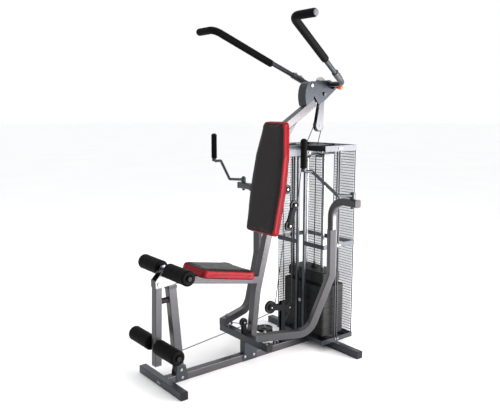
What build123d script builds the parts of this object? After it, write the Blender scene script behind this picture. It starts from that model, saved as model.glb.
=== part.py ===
"""Multi station home gym: a steel frame with a seat, leg developer, press arms, lat arms and weight stack.

Frame of the part, in millimetres: +X to the right-hand side of the machine, -Y the front, where the user
faces, +Z up. The origin is on the floor, under the front face of the crossbar that carries the press arms.
"""
from build123d import *
from math import atan2, cos, hypot, radians, sin, sqrt
import os

# ---- driving dimensions ----------------------------------------------------------------------------------
TUBE = 45.0                 # square frame tube
WALL = 2.0                  # its wall
CORNER = 4.0                # outer corner radius of the square tube
PLATE = 3.0                 # bracket and gusset plate

FRONT_FOOT_HALF = 226.0
REAR_FOOT_HALF = 425.0
FRONT_FOOT_Y = -551.5
REAR_FOOT_Y = 580.5
CAP = 4.0                   # end cap flange

CROSSBAR_HALF = 233.0
CROSSBAR_Z = 122.0          # underside
RISER_DEPTH = 100.0

UPRIGHT_ROUTE = [(70, 122), (106, 420), (206, 800), (320, 1430)]    # centre line, (y, z)
UPRIGHT_BEND = 220.0
BOOM_START = (300.0, 1389.0)                                        # centre line at its front end
BOOM_RISE = radians(31.5)
BOOM_LENGTH = 305.0
BOOM_DEPTH = 50.0

SEAT_SLOPE = 0.1814         # the seat rail falls towards the back
SEAT_RAIL_FRONT_Y = -535.0
SEAT_RAIL_FRONT_Z = 582.4   # underside at the front end
FRONT_UPRIGHT_FOOT = (-446.0, 45.0)
FRONT_UPRIGHT_TOP = (-492.0, 590.0)
CABLE_SLOT_Z = 231.0        # where the leg cable passes through the main upright
LEG_SLOT_Z = 168.0          # and through the front upright

SEAT_THICK = 48.0
SEAT_FRONT_Y, SEAT_BACK_Y = -356.0, -8.0
SEAT_FRONT_HALF, SEAT_BACK_HALF = 122.0, 150.0

BACK_THICK = 42.0
BACK_BOTTOM = (126.6, 765.0)   # front face of the backrest at its lower edge, (y, z)
BACK_TOP = (240.0, 1443.0)
BACK_HALF_WIDTHS = [(0.0, 138.0), (0.40, 152.0), (0.70, 140.0), (1.0, 98.0)]

LEVER_PIVOT = (-573.0, 585.0)
LEVER_FOOT = (-586.0, 130.0)
LEVER_WIDTH, LEVER_DEPTH = 44.0, 40.0
UPPER_ROLLER = (-519.0, 654.0)
LOWER_ROLLER = (-591.0, 244.0)
ROLLER_R = 42.0
ROLLER_INNER, ROLLER_OUTER = 36.0, 238.0     # ends of a roller, from the middle
ROLLER_AXLE_R = 8.0

ARM_PIVOT = (189.0, 22.5)      # (x, y)
ARM_AXIS_Z = 202.0
LUG_REACH = 59.0            # cable lug under the arm, from its pivot
ARM_BEARING = 11.0
ARM_TUBE = 45.0
ARM_SPLAY = radians(22.8)
ARM_TOP = (346.0, 396.0)       # plan position of the vertical stretch
ARM_TOP_Z = 990.0
ARM_SEAM_Z = 815.0
ARM_END_X = 540.0
HANDLE_PIVOT = (500.0, 396.0)  # (x, y)
HANDLE_ROUTE = [(500, 384, 1032), (500, 278, 1042), (424, 153, 1178), (418, 97, 1178)]
HANDLE_ROD_R = 9.0
HANDLE_BEND = 17.0
GRIP_R = 18.0
GRIP_Z = (1196.0, 1350.0)

GUARD_HALF = 215.0
GUARD_FRONT, GUARD_BACK = 463.0, 735.0
TRAY_Z = (45.0, 75.0)
MID_RING_Z = (657.0, 685.0)
TOP_RING_Z = (1256.0, 1290.0)
GUARD_BAR = 3.0
POST_X, POST_SIZE = 31.0, 16.0
BEAM_Z = (1222.0, 1285.0)
BEAM_END_Y = 728.0

ROD_X, ROD_Y, ROD_R = 76.0, 593.0, 10.0
STACK_HALF = 182.0
STACK_FRONT, STACK_BACK = 495.0, 683.0
STACK_BASE_Z = 85.0
WEIGHT_H = 45.5
RESTING_PLATES, LIFTED_PLATES = 4, 3
LIFT_GAP = 0.5
HEAD_HALF = 162.0
HEAD_FRONT, HEAD_BACK = 512.0, 668.0
HEAD_Z = (424.0, 489.0)
STEM_TOP = 512.0
STEM_R = 12.0
PIN_R = 4.5

PULLEY_R, PULLEY_W = 37.0, 18.0
CABLE_R = 2.5
GROOVE = 7.0                 # depth of the groove
CABLE_SEAT = 4.0             # the cable's centre line runs this far inside the pulley's rim

# pulleys in the middle plane: centre (y, z) and rim radius
SMALL_R = 31.0
LOW_PULLEY, LOW_R = (10.0, 240.0), 26.0
BASE_FRONT_PULLEY, BASE_FRONT_R = (222.0, 290.0), 40.0
BASE_REAR_PULLEY = (370.0, 262.0)
FLOAT_LOWER = (369.0, 787.0)
FLOAT_UPPER = (411.0, 915.0)
UPRIGHT_PULLEY = (345.0, 1020.0)
FRONT_TOP_PULLEY = (515.0, 1240.0)
REAR_TOP_PULLEY = (626.0, 1240.0)
HANGER_PULLEY = (608.0, 1404.0)
BASE_POST_Y = (304.0, 336.0)
BASE_POST_TOP = 310.0
POST_EYE = (12.5, 322.0, 320.0)
LEG_HOOK = (-551.0, 158.0)
BASE_ANCHOR = (262.0, 52.0)
PRESS_PULLEY_Y, PRESS_PULLEY_Z, PRESS_PULLEY_R = 176.0, 162.0, 50.0

LAT_PIVOT = (518.0, 1652.0)
LAT_CROSS = (671.0, 1661.0)
HANGER_PIN = (632.0, 1600.0)
LAT_CROSS_R = 16.0
LAT_ROUTE = [(0, 671, 1661), (148, 671, 1661), (356, 63, 1985), (530, 63, 1985)]
LAT_TUBE_R = 15.0
LAT_GRIP_R = 23.0
SELECT_PIN = (699.0, 1641.0)


# ---- helpers ---------------------------------------------------------------------------------------------
NODES = {}


def solids(shape):
    """The separate solids of a shape or of a list of shapes."""
    if isinstance(shape, (list, tuple)):
        return [s for item in shape for s in solids(item)]
    return list(shape.solids())


def node(name, *shapes):
    """Add the shapes to the named piece, or to the named group of pieces."""
    NODES.setdefault(name, []).extend(solids(list(shapes)))


def drill(bolts, names):
    """Cut the holes that the bolts pass through."""
    for name in names:
        NODES[name] = [left for part in NODES[name] for left in solids(part - bolts)]


def box(x0, x1, y0, y1, z0, z1):
    """A box between two corners."""
    size = (x1 - x0, y1 - y0, z1 - z0)
    return Pos((x0 + x1) / 2, (y0 + y1) / 2, (z0 + z1) / 2) * Box(*size)


def rod(start, end, radius, bore=0.0):
    """A round bar, or a pipe when it has a bore."""
    start, end = Vector(*start), Vector(*end)
    plane = Plane(origin=start, z_dir=end - start)
    section = Circle(radius) - Circle(bore) if bore else Circle(radius)
    return extrude(plane * section, (end - start).length)


def both_sides(shape):
    """The shape and its mirror image across the middle plane."""
    return [shape, mirror(shape, about=Plane.YZ)]


def tube_section(width, depth, corner=CORNER, wall=WALL):
    """A hollow square or rectangular tube section."""
    outer = RectangleRounded(width, depth, corner)
    inner = RectangleRounded(width - 2 * wall, depth - 2 * wall, max(corner - wall, 0.5))
    return outer - inner


def straight_tube(start, end, across, depth, corner=CORNER, solid=False, wall=WALL):
    """A tube in the YZ plane from start to end, both (y, z); across is its width along X."""
    first = Vector(0, *start)
    last = Vector(0, *end)
    plane = Plane(origin=first, x_dir=(1, 0, 0), z_dir=last - first)
    section = RectangleRounded(across, depth, corner) if solid else tube_section(across, depth, corner, wall)
    return extrude(plane * section, (last - first).length)


def bent_tube(points, bend, section, x_dir):
    """A section swept along straight runs joined by bends."""
    path = FilletPolyline(*[Vector(*p) for p in points], radius=bend)
    start = Plane(origin=path @ 0, x_dir=x_dir, z_dir=path % 0)
    return sweep(start * section, path=path)


def plate_yz(outline, x0, x1, holes=()):
    """A flat plate in a YZ plane; outline is a list of (y, z), holes are (y, z, radius)."""
    plane = Plane(origin=(x0, 0, 0), x_dir=(0, 1, 0), z_dir=(1, 0, 0))
    face = make_face(Polyline(*outline, close=True))
    for y, z, radius in holes:
        face -= Pos(y, z) * Circle(radius)
    return extrude(plane * face, x1 - x0)


def link_plate(ends, x0, x1, bore=0.0):
    """A link in a YZ plane that wraps round discs; ends are (y, z, radius)."""
    plane = Plane(origin=(x0, 0, 0), x_dir=(0, 1, 0), z_dir=(1, 0, 0))
    face = make_hull([edge for y, z, r in ends for edge in (Pos(y, z) * Circle(r)).edges()])
    if bore:
        for y, z, _ in ends:
            face -= Pos(y, z) * Circle(bore)
    return extrude(plane * face, x1 - x0)


def bolt(point, direction, radius, length, head=1.0):
    """A dome-headed bolt: the head's underside is at point, and the shank runs along direction."""
    plane = Plane(origin=point, z_dir=direction)
    shank = extrude(plane * Circle(radius), length)
    cap = plane * Pos(0, 0, -0.45 * radius * head) * Cylinder(1.9 * radius, 0.9 * radius * head)
    return shank + fillet(cap.edges().sort_by(lambda e: (e.center() - Vector(*point)).length)[-1:],
                          0.3 * radius)


def pulley_at(centre, axis, radius=PULLEY_R, width=PULLEY_W, bore=5.05):
    """A grooved wheel with a bored hub."""
    half = width / 2
    profile = Polyline((bore, -half), (bore, half), (0.42 * radius, half), (0.46 * radius, half - 4),
                       (radius - 9, half - 4), (radius - 7, half), (radius, half), (radius, half - 1.5),
                       (radius - GROOVE, CABLE_R + 0.4), (radius - GROOVE, -CABLE_R - 0.4),
                       (radius, 1.5 - half), (radius, -half), (radius - 7, -half), (radius - 9, 4 - half),
                       (0.46 * radius, 4 - half), (0.42 * radius, -half), close=True)
    wheel = revolve(make_face(Plane.XZ * profile), Axis.Z)
    return Plane(origin=centre, z_dir=axis) * wheel


def tangent(a, ra, b, rb, side_a, side_b):
    """Where a taut line touches two circles in the YZ plane; a side is +1 for a circle on its left."""
    dy, dz = b[0] - a[0], b[1] - a[1]
    gap = hypot(dy, dz)
    turn = atan2(dz, dy) + atan2(side_a * ra - side_b * rb, sqrt(gap ** 2 - (side_a * ra - side_b * rb) ** 2))
    ny, nz = sin(turn), -cos(turn)
    return (a[0] + side_a * ra * ny, a[1] + side_a * ra * nz), (b[0] + side_b * rb * ny,
                                                                b[1] + side_b * rb * nz)


def cable_run(start, end):
    """A straight cable between two (y, z) points of the middle plane."""
    return rod((0, *start), (0, *end), CABLE_R)


def cable_wrap(centre, radius, start, end, through):
    """A cable round a pulley in the middle plane, from start to end past the angle through, in degrees."""
    first = atan2(start[1] - centre[1], start[0] - centre[0])
    last = atan2(end[1] - centre[1], end[0] - centre[0])
    middle = (first + last) / 2
    if cos(middle - radians(through)) < 0:
        middle += radians(180)
    crown = (centre[0] + radius * cos(middle), centre[1] + radius * sin(middle))
    arc = ThreePointArc((0, *start), (0, *crown), (0, *end))
    return sweep(Plane(origin=arc @ 0, z_dir=arc % 0) * Circle(CABLE_R), path=arc)


# ---- base frame ------------------------------------------------------------------------------------------
def seat_rail_z(y):
    """Height of the underside of the seat rail."""
    return SEAT_RAIL_FRONT_Z - (y - SEAT_RAIL_FRONT_Y) * SEAT_SLOPE


def base_frame():
    """Feet, base rail, riser and crossbar."""
    half = TUBE / 2
    along_x = Plane.YZ
    for name, y, reach in (("front_foot", FRONT_FOOT_Y, FRONT_FOOT_HALF),
                           ("rear_foot", REAR_FOOT_Y, REAR_FOOT_HALF)):
        length = 2 * (reach - CAP)
        node(name, Pos(CAP - reach, y, half) * extrude(along_x * tube_section(TUBE, TUBE), length))
    caps = []
    for y, reach in ((FRONT_FOOT_Y, FRONT_FOOT_HALF), (REAR_FOOT_Y, REAR_FOOT_HALF)):
        flange = extrude(along_x * RectangleRounded(TUBE, TUBE, CORNER), CAP)
        plug = Pos(-14, 0, 0) * extrude(along_x * RectangleRounded(TUBE - 2 * WALL, TUBE - 2 * WALL, 2), 14)
        caps += both_sides(Pos(reach - CAP, y, half) * (flange + plug))
    node("end_caps", caps)

    rail_start = FRONT_FOOT_Y + half
    rail_end = REAR_FOOT_Y - half
    seam = -12.0
    along_y = Plane(origin=(0, 0, 0), x_dir=(1, 0, 0), z_dir=(0, 1, 0))
    for name, y0, y1 in (("front_rail", rail_start, seam), ("rear_rail", seam, rail_end)):
        node(name, Pos(0, y0, half) * extrude(along_y * tube_section(TUBE, TUBE), y1 - y0))
    node("frame_brackets", both_sides(box(half, half + PLATE, seam, 92, 2, TUBE - 2)))

    riser = extrude(Pos(0, RISER_DEPTH / 2, TUBE) * tube_section(TUBE, RISER_DEPTH), CROSSBAR_Z - TUBE)
    node("crossbar", riser)
    length = 2 * (CROSSBAR_HALF - CAP)
    bar = Pos(CAP - CROSSBAR_HALF, half, CROSSBAR_Z + half) * extrude(along_x * tube_section(TUBE, TUBE),
                                                                      length)
    for x in (-ARM_PIVOT[0], ARM_PIVOT[0]):
        bar -= Pos(x, ARM_PIVOT[1], CROSSBAR_Z + half) * Cylinder(6.05, 2 * TUBE)
    node("crossbar", bar)
    flange = extrude(along_x * RectangleRounded(TUBE, TUBE, CORNER), CAP)
    plug = Pos(-14, 0, 0) * extrude(along_x * RectangleRounded(TUBE - 2 * WALL, TUBE - 2 * WALL, 2), 14)
    node("end_caps", both_sides(Pos(CROSSBAR_HALF - CAP, half, CROSSBAR_Z + half) * (flange + plug)))


def boom_point(distance, offset=0.0):
    """A point (y, z) along the boom's centre line, offset up and forward from it."""
    y = BOOM_START[0] + distance * cos(BOOM_RISE) - offset * sin(BOOM_RISE)
    z = BOOM_START[1] + distance * sin(BOOM_RISE) + offset * cos(BOOM_RISE)
    return y, z


def upright_sweep(section):
    """A section carried along the main upright's centre line."""
    return bent_tube([(0, y, z) for y, z in UPRIGHT_ROUTE], UPRIGHT_BEND, section, (1, 0, 0))


def filled_upright():
    """The main upright's outside as one solid, for trimming the pieces that meet it."""
    return upright_sweep(RectangleRounded(TUBE + 0.02, TUBE + 0.02, CORNER))


def masts():
    """Main upright, boom, front upright and seat rail."""
    upright = upright_sweep(tube_section(TUBE, TUBE))
    upright &= box(-TUBE, TUBE, -100, 600, CROSSBAR_Z, 2000)
    lower_start, lower_end = boom_point(-80, -BOOM_DEPTH / 2), boom_point(160, -BOOM_DEPTH / 2)
    upper_start, upper_end = boom_point(-80, 200), boom_point(160, 200)
    upright -= plate_yz([lower_start, lower_end, upper_end, upper_start], -TUBE, TUBE)
    upright -= box(-8, 8, 40, 140, CABLE_SLOT_Z - 15, CABLE_SLOT_Z + 15)
    node("main_upright", upright)

    node("boom", straight_tube(boom_point(0), boom_point(BOOM_LENGTH), TUBE, BOOM_DEPTH))
    gusset = [boom_point(2, -BOOM_DEPTH / 2 + 3), boom_point(110, -BOOM_DEPTH / 2 + 3), (308, 1296),
              (286, 1290)]
    node("frame_brackets", both_sides(plate_yz(gusset, TUBE / 2, TUBE / 2 + PLATE)))

    front = straight_tube(FRONT_UPRIGHT_FOOT, FRONT_UPRIGHT_TOP, TUBE, 50)
    under_rail = [(-700, TUBE), (-200, TUBE), (-200, seat_rail_z(-200)), (-700, seat_rail_z(-700))]
    front &= plate_yz(under_rail, -TUBE, TUBE)
    node("front_upright", front - box(-8, 8, -520, -400, LEG_SLOT_Z - 15, LEG_SLOT_Z + 15))

    rail_depth = TUBE / 2 / cos(atan2(SEAT_SLOPE, 1))
    start = (SEAT_RAIL_FRONT_Y, seat_rail_z(SEAT_RAIL_FRONT_Y) + rail_depth)
    end = (160.0, seat_rail_z(160.0) + rail_depth)
    rail = straight_tube(start, end, TUBE, TUBE)
    rail = max(solids(rail - filled_upright()), key=lambda s: s.volume)
    node("seat_rail", rail)


def foot_brackets():
    """Bolted bracket at the front upright's foot and the collar at its top."""
    half = TUBE / 2
    outline = [(-480, 4), (-404, 4), (-404, 40), (-418, 96), (-470, 96), (-480, 40)]
    node("frame_brackets", both_sides(plate_yz(outline, half, half + PLATE)))
    lean = (FRONT_UPRIGHT_TOP[0] - FRONT_UPRIGHT_FOOT[0]) / (FRONT_UPRIGHT_TOP[1] - FRONT_UPRIGHT_FOOT[1])
    low, high = 546.0, 560.0
    ends = [(FRONT_UPRIGHT_FOOT[0] + lean * (z - FRONT_UPRIGHT_FOOT[1]), z) for z in (low, high)]
    outer = straight_tube(*ends, TUBE + 6, 56, solid=True)
    inner = straight_tube((ends[0][0] - lean * 5, low - 5), (ends[1][0] + lean * 5, high + 5), TUBE, 50,
                          solid=True)
    node("frame_brackets", outer - inner)


# ---- upholstery ------------------------------------------------------------------------------------------
def seat():
    """Seat pad and the two cross plates that carry it."""
    slope = atan2(-SEAT_SLOPE, 1)
    top = TUBE / cos(slope)

    def under(y, lift):
        return (y, seat_rail_z(y) + top + lift)

    mid = (SEAT_FRONT_Y + SEAT_BACK_Y) / 2
    plane = Plane(origin=(0, mid, seat_rail_z(mid) + top + PLATE + 0.3), x_dir=(1, 0, 0),
                  z_dir=(0, sin(-slope), cos(slope)))
    reach = (SEAT_BACK_Y - SEAT_FRONT_Y) / 2 / cos(slope)
    outline = make_face(Polyline((-SEAT_FRONT_HALF, -reach), (SEAT_FRONT_HALF, -reach),
                                 (SEAT_BACK_HALF, reach),
                                 (-SEAT_BACK_HALF, reach), close=True))
    outline = fillet(outline.vertices(), 30)
    pad = extrude(plane * outline, SEAT_THICK)
    node("seat_pad", fillet(pad.faces().sort_by(Axis.Z)[-1].edges(), 8))
    plates = []
    for y in (-290.0, -80.0):
        edge = [under(y - 25, 0), under(y + 25, 0), under(y + 25, PLATE), under(y - 25, PLATE)]
        plates.append(plate_yz(edge, -95, 95))
    node("pad_brackets", plates)


def backrest():
    """Backrest pad and its two mounting brackets on the main upright."""
    lean = atan2(BACK_TOP[0] - BACK_BOTTOM[0], BACK_TOP[1] - BACK_BOTTOM[1])
    length = hypot(BACK_TOP[0] - BACK_BOTTOM[0], BACK_TOP[1] - BACK_BOTTOM[1])
    plane = Plane(origin=(0, *BACK_BOTTOM), x_dir=(1, 0, 0), z_dir=(0, cos(lean), -sin(lean)))
    right = [(half, -share * length) for share, half in BACK_HALF_WIDTHS]
    left = [(-x, y) for x, y in reversed(right)]
    points = right + left
    outline = make_face(Polyline(*points, close=True))
    outline = fillet(outline.vertices(), 26)
    pad = extrude(plane * outline, BACK_THICK)
    node("backrest_pad", fillet(pad.faces().sort_by(Axis.Y)[0].edges(), 8))

    def pad_back(z):
        return BACK_BOTTOM[0] + (z - BACK_BOTTOM[1]) * sin(lean) / cos(lean) + BACK_THICK / cos(lean) + 0.3

    brackets = []
    for z in (850.0, 1290.0):
        block = plate_yz([(pad_back(z - 20), z - 20), (400, z - 20), (400, z + 20),
                          (pad_back(z + 20), z + 20)],
                         -TUBE / 2, TUBE / 2)
        brackets.append(min(solids(block - filled_upright()), key=lambda s: s.center().Y))
    node("pad_brackets", brackets)


# ---- leg developer ---------------------------------------------------------------------------------------
def leg_developer():
    """Swinging lever, its bracket, two roller axles and four foam rollers."""
    half = TUBE / 2
    unit = hypot(LEVER_FOOT[0] - LEVER_PIVOT[0], LEVER_FOOT[1] - LEVER_PIVOT[1])
    lean = (LEVER_FOOT[0] - LEVER_PIVOT[0]) / unit, (LEVER_FOOT[1] - LEVER_PIVOT[1]) / unit
    top = (LEVER_PIVOT[0] - 20 * lean[0], LEVER_PIVOT[1] - 20 * lean[1])
    lever = straight_tube(top, LEVER_FOOT, LEVER_WIDTH, LEVER_DEPTH)
    lever -= rod((-TUBE, *LEVER_PIVOT), (TUBE, *LEVER_PIVOT), 6.06)
    lever -= rod((-TUBE, *LOWER_ROLLER), (TUBE, *LOWER_ROLLER), ROLLER_AXLE_R)
    node("leg_lever", lever)
    plug_end = (LEVER_FOOT[0] + 5 * lean[0], LEVER_FOOT[1] + 5 * lean[1])
    node("leg_lever_fittings", straight_tube(LEVER_FOOT, plug_end, LEVER_WIDTH, LEVER_DEPTH, solid=True))
    hook_y, hook_z = LEG_HOOK
    eye = rod((-3, hook_y, hook_z), (3, hook_y, hook_z), 9) - rod((-4, hook_y, hook_z), (4, hook_y, hook_z),
                                                                  4)
    stub = rod((0, hook_y - 30, hook_z), (0, hook_y - 6, hook_z), 2.5)
    stub -= straight_tube(top, LEVER_FOOT, LEVER_WIDTH, LEVER_DEPTH, solid=True)
    stub = max(solids(stub), key=lambda s: s.center().Y)
    node("leg_lever_fittings", eye + stub)

    bracket = [(-594, 565), (-552, 565), (-470, seat_rail_z(-470) + 4), (-470, seat_rail_z(-470) + 40),
               (-500, 668), (-512, 674), (-528, 674), (-540, 662), (-594, 604)]
    holes = [(*LEVER_PIVOT, 6.02), (*UPPER_ROLLER, ROLLER_AXLE_R)]
    side = plate_yz(bracket, half, half + PLATE + 0.5, holes)
    node("leg_bracket", both_sides(side))
    node("frame_bolts", bolt((half + PLATE + 0.5, *LEVER_PIVOT), (-1, 0, 0), 6, TUBE + 2 * PLATE + 9))

    bumper_y = LEVER_PIVOT[0] + lean[0] * (LEVER_PIVOT[1] - 483) / -lean[1] + LEVER_DEPTH / 2
    upright_y = (FRONT_UPRIGHT_FOOT[0] + (483 - 45) * (FRONT_UPRIGHT_TOP[0] - FRONT_UPRIGHT_FOOT[0])
                 / (FRONT_UPRIGHT_TOP[1] - FRONT_UPRIGHT_FOOT[1]) - 25.5)
    pad = rod((0, bumper_y + 1.2, 483), (0, upright_y + 2, 483), 16)
    solid_front = straight_tube(FRONT_UPRIGHT_FOOT, FRONT_UPRIGHT_TOP, TUBE, 50, solid=True)
    node("rubber_stops", pad - solid_front)

    places = (("upper", UPPER_ROLLER, "leg_bracket", "end_caps"),
              ("lower", LOWER_ROLLER, "leg_lever_fittings", "leg_lever_fittings"))
    for level, centre, axle_node, cap_node in places:
        reach = ROLLER_OUTER + 6
        node(axle_node, rod((-reach, *centre), (reach, *centre), ROLLER_AXLE_R))
        flange = rod((ROLLER_OUTER + 0.5, *centre), (reach, *centre), 13, ROLLER_AXLE_R)
        cover = rod((reach, *centre), (reach + 4, *centre), 13)
        dome = fillet(cover.edges().sort_by(Axis.X)[-1:], 2.5)
        node(cap_node, both_sides(flange + dome))
        for side_name, sign in (("left", -1), ("right", 1)):
            inner, outer = (sign * ROLLER_INNER, *centre), (sign * ROLLER_OUTER, *centre)
            foam = rod(inner, outer, ROLLER_R, ROLLER_AXLE_R + 0.35)
            rims = foam.edges().filter_by(GeomType.CIRCLE).filter_by(lambda e: e.radius > ROLLER_R - 1)
            node(f"{level}_roller_{side_name}", fillet(rims, 7))


# ---- press arms ------------------------------------------------------------------------------------------
def arm_point(distance, z):
    """A point of the right arm's lower run, measured from its pivot."""
    return ARM_PIVOT[0] + distance * sin(ARM_SPLAY), ARM_PIVOT[1] + distance * cos(ARM_SPLAY), z


def press_arms():
    """Two arms on vertical bolts at the crossbar, each in a lower and an upper length."""
    splay = atan2(ARM_TOP[0] - ARM_PIVOT[0], ARM_TOP[1] - ARM_PIVOT[1])
    lower_route = [arm_point(-45, ARM_AXIS_Z), arm_point(268, ARM_AXIS_Z), (*ARM_TOP, 545),
                   (*ARM_TOP, ARM_SEAM_Z)]
    section = tube_section(ARM_TUBE, ARM_TUBE, 6, 2.2)
    lower = bent_tube(lower_route, 105, section, (cos(splay), -sin(splay), 0))
    pivot = Pos(*ARM_PIVOT, ARM_AXIS_Z)
    lower -= pivot * Cylinder(6.06, 2 * ARM_TUBE)
    upper_route = [(*ARM_TOP, ARM_SEAM_Z + 0.5), (*ARM_TOP, ARM_TOP_Z),
                   (ARM_END_X - CAP, ARM_TOP[1], ARM_TOP_Z)]
    upper = bent_tube(upper_route, 96, tube_section(42, 42, 11, 2.2), (1, 0, 0))
    upper -= Pos(*HANDLE_PIVOT, ARM_TOP_Z) * Cylinder(6.0, 2 * ARM_TUBE)
    spigot = Pos(*ARM_TOP, ARM_SEAM_Z + 0.25) * Cylinder(17, 60)
    front_cap = Plane(origin=arm_point(-45, ARM_AXIS_Z), x_dir=(cos(splay), -sin(splay), 0),
                      z_dir=(-sin(ARM_SPLAY), -cos(ARM_SPLAY), 0))
    front = extrude(front_cap * RectangleRounded(ARM_TUBE, ARM_TUBE, 6), CAP)
    rear = Pos(ARM_END_X - CAP, ARM_TOP[1], ARM_TOP_Z) * extrude(Plane.YZ * RectangleRounded(44, 44, 9),
                                                                 CAP + 2)
    lug = rod(arm_point(LUG_REACH, ARM_AXIS_Z - ARM_TUBE / 2), arm_point(LUG_REACH, PRESS_PULLEY_Z - 12), 7)
    for side_name, flip in (("right", lambda s: s), ("left", lambda s: mirror(s, about=Plane.YZ))):
        node(f"press_arm_{side_name}", flip(lower), flip(upper), flip(spigot), flip(lug), flip(front),
             flip(rear))
    washer = pivot * Pos(0, 0, -ARM_TUBE / 2 - ARM_BEARING / 2) * (Cylinder(19,
                                                                            ARM_BEARING) - Cylinder(6.02, 20))
    node("frame_bolts", both_sides(washer))
    base_z = CROSSBAR_Z - 10
    pin = Pos(*ARM_PIVOT, 0) * extrude(Pos(0, 0, base_z) * Circle(6), ARM_AXIS_Z + ARM_TUBE / 2 + 14 - base_z)
    nuts = [Pos(*ARM_PIVOT, CROSSBAR_Z - 5.5) * extrude(RegularPolygon(10, 6), 5),
            Pos(*ARM_PIVOT, ARM_AXIS_Z + ARM_TUBE / 2 + 0.5) * extrude(RegularPolygon(10, 6), 9)]
    node("frame_bolts", both_sides(pin + nuts[0] + nuts[1]))


def handles():
    """A bent rod on each arm's top, with an upright foam grip."""
    last = HANDLE_ROUTE[-1]
    route = HANDLE_ROUTE + [(last[0], last[1], GRIP_Z[1] + 2)]
    bar = bent_tube(route, HANDLE_BEND, Circle(HANDLE_ROD_R), (1, 0, 0))
    base = ARM_TOP_Z + 21.5
    eye = Pos(*HANDLE_PIVOT, base + 17) * Cylinder(16, 34)
    handle = bar + eye - Pos(*HANDLE_PIVOT, base + 17) * Cylinder(6.06, 60)
    pipe = Pos(last[0], last[1], 0) * extrude(Circle(GRIP_R) - Circle(HANDLE_ROD_R), GRIP_Z[1] - GRIP_Z[0])
    grip = Pos(0, 0, GRIP_Z[0]) * pipe
    grip -= bar
    grip = fillet(grip.edges().filter_by(GeomType.CIRCLE).filter_by(lambda e: e.radius > GRIP_R - 1), 4)
    sleeve = Pos(last[0], last[1], GRIP_Z[0] - 19) * extrude(Circle(14) - Circle(HANDLE_ROD_R), 18.5)
    sleeve -= bar
    cap = Pos(last[0], last[1], GRIP_Z[1] + 2) * extrude(Circle(12), 3)
    low, high = ARM_TOP_Z - 34, base + 42
    pin = Pos(*HANDLE_PIVOT, low) * extrude(Circle(6), high - low)
    ends = [Pos(*HANDLE_PIVOT, low + 3) * extrude(RegularPolygon(10, 6), 10),
            Pos(*HANDLE_PIVOT, base + 34.5) * extrude(RegularPolygon(10, 6), 6)]
    for side_name, flip in (("right", lambda s: s), ("left", lambda s: mirror(s, about=Plane.YZ))):
        node(f"press_handle_{side_name}", flip(handle))
        node(f"press_grip_{side_name}", flip(grip), flip(sleeve), flip(cap))
        node(f"press_arm_{side_name}", flip(pin + ends[0] + ends[1]))


# ---- weight tower ----------------------------------------------------------------------------------------
def ring(z0, z1, gap):
    """Four flat bars round the stack; the front one is in two lengths, 2 x gap apart."""
    front = box(gap, GUARD_HALF, GUARD_FRONT, GUARD_FRONT + GUARD_BAR, z0, z1)
    side = box(GUARD_HALF - GUARD_BAR, GUARD_HALF, GUARD_FRONT + GUARD_BAR, GUARD_BACK - GUARD_BAR, z0, z1)
    back = box(-GUARD_HALF, GUARD_HALF, GUARD_BACK - GUARD_BAR, GUARD_BACK, z0, z1)
    return both_sides(front) + both_sides(side) + [back]


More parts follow.
